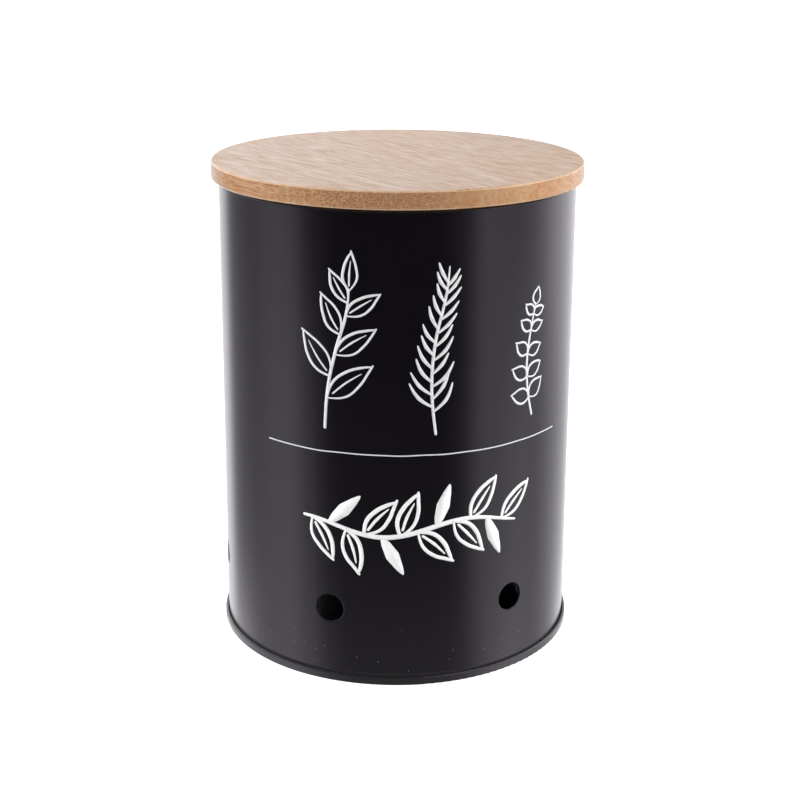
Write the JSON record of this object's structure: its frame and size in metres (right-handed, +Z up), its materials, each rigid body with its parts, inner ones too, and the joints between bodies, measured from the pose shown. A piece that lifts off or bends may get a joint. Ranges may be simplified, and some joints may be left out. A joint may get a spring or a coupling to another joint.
{
  "type": "garlic keeper",
  "caption": "Round tin canister with drawn vent holes near the foot, a double-seamed base and a lift-off bamboo lid with a silicone seal.",
  "frame": {"origin": "middle of the foot, on the can's axis", "axes": "+Z up the can's axis, -Y towards the front"},
  "size_m": [0.13, 0.13, 0.171],
  "materials": {
    "black_paint": "satin",
    "white_ink": "screen-printed, matt",
    "bamboo": "sanded and oiled",
    "silicone": "moulded, matt"
  },
  "bodies": {
    "can": {"can_body": "black_paint", "base_end": "black_paint"},
    "seal": {"seal_ring": "silicone"},
    "lid": {"lid_strip_1": "bamboo", "lid_strip_2": "bamboo", "lid_strip_3": "bamboo", "lid_strip_4": "bamboo", "lid_strip_5": "bamboo", "lid_strip_6": "bamboo", "plug_strip_1": "bamboo", "plug_strip_2": "bamboo", "plug_strip_3": "bamboo", "plug_strip_4": "bamboo", "plug_strip_5": "bamboo"}
  },
  "joints": [
    {"name": "lid_lift", "type": "slide", "parent": "can", "child": "seal", "axis": [0, 0, 1], "range_m": [0, 0.04]},
    {"name": "lid_turn", "type": "hinge", "parent": "seal", "child": "lid", "pos_m": [0, 0, 0.1648], "axis": [0, 0, 1], "continuous": true}
  ]
}
